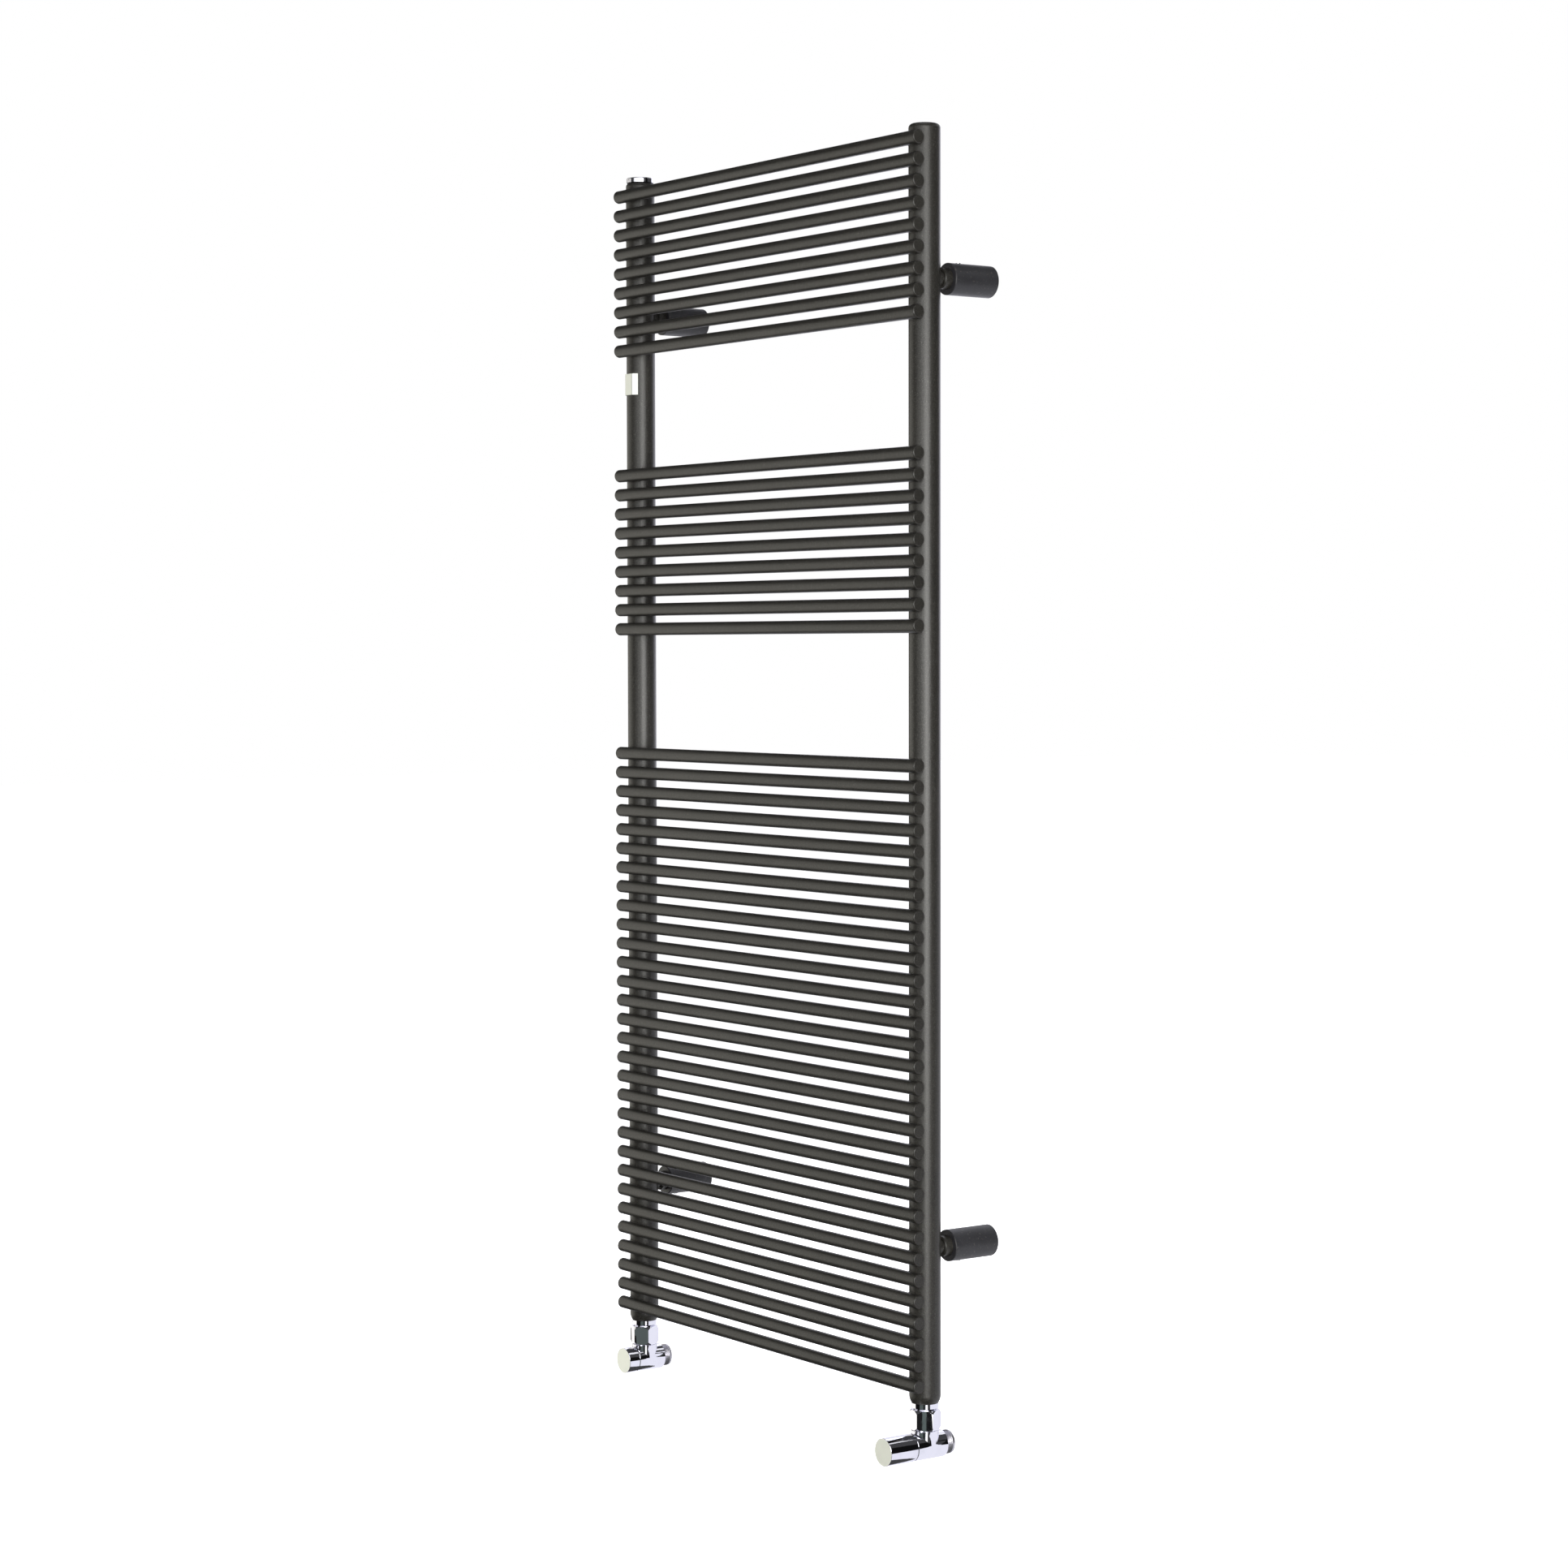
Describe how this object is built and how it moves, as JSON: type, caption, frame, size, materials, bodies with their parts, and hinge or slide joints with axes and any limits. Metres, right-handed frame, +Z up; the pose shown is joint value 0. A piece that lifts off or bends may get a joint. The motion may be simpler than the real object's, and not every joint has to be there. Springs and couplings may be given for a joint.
{
  "type": "towel radiator",
  "caption": "Wall-mounted towel radiator with level round rails in front of two collectors, wall brackets, and a corner valve with handwheel and a lockshield valve.",
  "frame": {"origin": "on the wall plane, midway between the four wall screw holes", "axes": "+Z up; +Y into the wall, so the rails and the handwheel face -Y; +X along the rails to the viewer's right"},
  "size_m": [0.6013, 0.148, 1.4709],
  "materials": {
    "powder_coat": "fine-textured anthracite powder coat",
    "bracket_coat": "smooth charcoal paint",
    "chrome": "polished chrome plate",
    "satin_disc": "satin",
    "brass": "machined",
    "rubber": "matt black",
    "zinc_steel": "zinc-plated"
  },
  "bodies": {
    "wall_brackets": {"bracket_sleeve_upper_left": "bracket_coat", "bracket_sleeve_upper_right": "bracket_coat", "bracket_sleeve_lower_left": "bracket_coat", "bracket_sleeve_lower_right": "bracket_coat", "grub_screws": "zinc_steel"},
    "radiator": {"collector_left": "powder_coat", "collector_right": "powder_coat", "rails_top_bank": "powder_coat", "rails_middle_bank": "powder_coat", "rails_bottom_bank": "powder_coat", "rail_end_plugs_left": "powder_coat", "rail_end_plugs_right": "powder_coat", "collector_cap_left": "powder_coat", "collector_socket_left": "powder_coat", "collector_cap_right": "powder_coat", "collector_socket_right": "powder_coat", "bracket_stud_upper_left": "powder_coat", "bracket_stud_upper_right": "powder_coat", "bracket_stud_lower_left": "powder_coat", "bracket_stud_lower_right": "powder_coat", "badge_plate": "chrome", "vent_plug": "chrome", "vent_gasket": "rubber", "valve_body_left": "chrome", "valve_tail_left": "chrome", "union_nut_left": "chrome", "union_gasket_left": "rubber", "headwork_left": "brass", "stem_seal_left": "rubber", "valve_body_right": "chrome", "valve_tail_right": "chrome", "union_nut_right": "chrome", "union_gasket_right": "rubber", "headwork_right": "brass", "stem_seal_right": "rubber"},
    "vent_ball": {"vent_ball": "zinc_steel"},
    "vent_screw": {"vent_screw": "brass"},
    "flow_disc": {"disc_holder_right": "brass", "disc_washer_right": "rubber"},
    "handwheel": {"spindle_right": "brass", "handwheel": "chrome", "handwheel_screw": "zinc_steel", "handwheel_face": "satin_disc"},
    "lockshield_disc": {"disc_holder_left": "brass", "disc_washer_left": "rubber"},
    "lockshield_spindle": {"spindle_left": "brass"},
    "lockshield_cap": {"lockshield_cap": "chrome", "lockshield_face": "satin_disc"}
  },
  "joints": [
    {"name": "standoff_adjust", "type": "slide", "parent": "wall_brackets", "child": "radiator", "axis": [0, -1, 0], "range_m": [-0.01, 0.01]},
    {"name": "vent_lift", "type": "slide", "parent": "radiator", "child": "vent_ball", "axis": [0, 0, 1], "range_m": [0, 0.0012]},
    {"name": "vent_turn", "type": "hinge", "parent": "vent_ball", "child": "vent_screw", "pos_m": [-0.283, -0.09, 0.7], "axis": [0, 0, 1], "range_deg": [0, 540.5]},
    {"name": "flow_lift", "type": "slide", "parent": "radiator", "child": "flow_disc", "axis": [0, -1, 0], "range_m": [0, 0.00375]},
    {"name": "handwheel_turn", "type": "hinge", "parent": "flow_disc", "child": "handwheel", "pos_m": [0.283, -0.09, -0.75125], "axis": [0, -1, 0], "range_deg": [0, 900.5]},
    {"name": "lockshield_lift", "type": "slide", "parent": "radiator", "child": "lockshield_disc", "axis": [0, -1, 0], "range_m": [0, 0.00375]},
    {"name": "lockshield_turn", "type": "hinge", "parent": "lockshield_disc", "child": "lockshield_spindle", "pos_m": [-0.283, -0.09, -0.75125], "axis": [0, -1, 0], "range_deg": [0, 900.5]},
    {"name": "lockshield_cap_pull", "type": "slide", "parent": "radiator", "child": "lockshield_cap", "axis": [0, -1, 0], "range_m": [0, 0.03]}
  ],
  "couplings": [
    {"joint": "vent_turn", "follows": "vent_lift", "rad_per_m": 7854},
    {"joint": "handwheel_turn", "follows": "flow_lift", "rad_per_m": 4188.8},
    {"joint": "lockshield_turn", "follows": "lockshield_lift", "rad_per_m": 4188.8}
  ]
}
